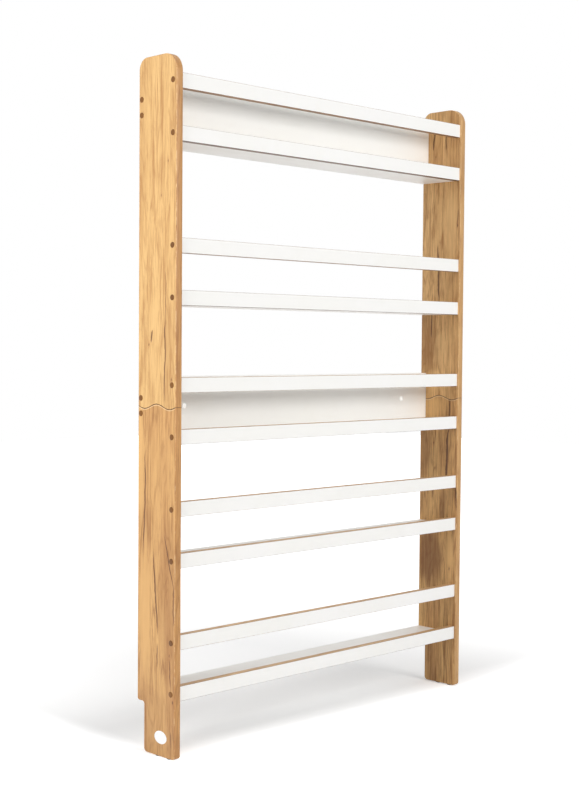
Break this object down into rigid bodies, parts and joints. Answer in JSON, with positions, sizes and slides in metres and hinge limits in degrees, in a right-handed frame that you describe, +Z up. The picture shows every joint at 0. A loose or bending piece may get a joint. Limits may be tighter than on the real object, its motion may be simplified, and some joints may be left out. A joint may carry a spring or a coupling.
{
  "type": "childrens bookcase",
  "caption": "Tall shallow front-facing bookcase for children: oak side panels with a wavy seam, white shelves with front rails that hold books face on, and wall fixing holes.",
  "frame": {"origin": "centre of the footprint on the floor, under the glides", "axes": "+X along the shelves to the right as seen from the front, +Y from the front to the wall, +Z up"},
  "size_m": [0.9344, 0.12, 1.442],
  "materials": {
    "oak_board": "satin oak decor on chipboard",
    "oak_edging": "satin oak decor edge banding",
    "white_board": "satin white melamine on chipboard",
    "white_edging": "satin white edge banding",
    "white_plug": "gloss white",
    "beech": "raw beech",
    "screw_steel": "zinc plated",
    "brown_cap": "satin brown",
    "glide": "dark brown"
  },
  "bodies": {
    "root": {"side_lower_left": "oak_board", "side_upper_left": "oak_board", "edging_lower_left": "oak_edging", "edging_upper_left": "oak_edging", "side_lower_right": "oak_board", "side_upper_right": "oak_board", "edging_lower_right": "oak_edging", "edging_upper_right": "oak_edging", "shelf_1": "white_board", "rail_lower_1": "white_board", "rail_upper_1": "white_board", "rail_lower_1_edging": "oak_edging", "rail_upper_1_edging": "oak_edging", "shelf_2": "white_board", "rail_lower_2": "white_board", "rail_upper_2": "white_board", "rail_lower_2_edging": "oak_edging", "rail_upper_2_edging": "oak_edging", "shelf_3": "white_board", "rail_lower_3": "white_board", "rail_upper_3": "white_board", "rail_lower_3_edging": "oak_edging", "rail_upper_3_edging": "oak_edging", "shelf_4": "white_board", "rail_lower_4": "white_board", "rail_upper_4": "white_board", "rail_lower_4_edging": "oak_edging", "rail_upper_4_edging": "oak_edging", "shelf_5": "white_board", "rail_lower_5": "white_board", "rail_upper_5": "white_board", "rail_lower_5_edging": "oak_edging", "rail_upper_5_edging": "oak_edging", "back_panel_middle": "white_board", "back_panel_top": "white_board", "back_panel_middle_edging": "white_edging", "back_panel_top_edging": "white_edging", "wall_hole_plugs": "white_plug", "seam_dowels": "beech", "shelf_end_dowels": "beech", "shelf_rail_dowels": "beech", "furniture_screws": "screw_steel", "screw_caps_left": "brown_cap", "screw_caps_right": "brown_cap", "glide_front_left": "glide", "glide_front_right": "glide", "glide_rear_left": "glide", "glide_rear_right": "glide"}
  },
  "joints": []
}
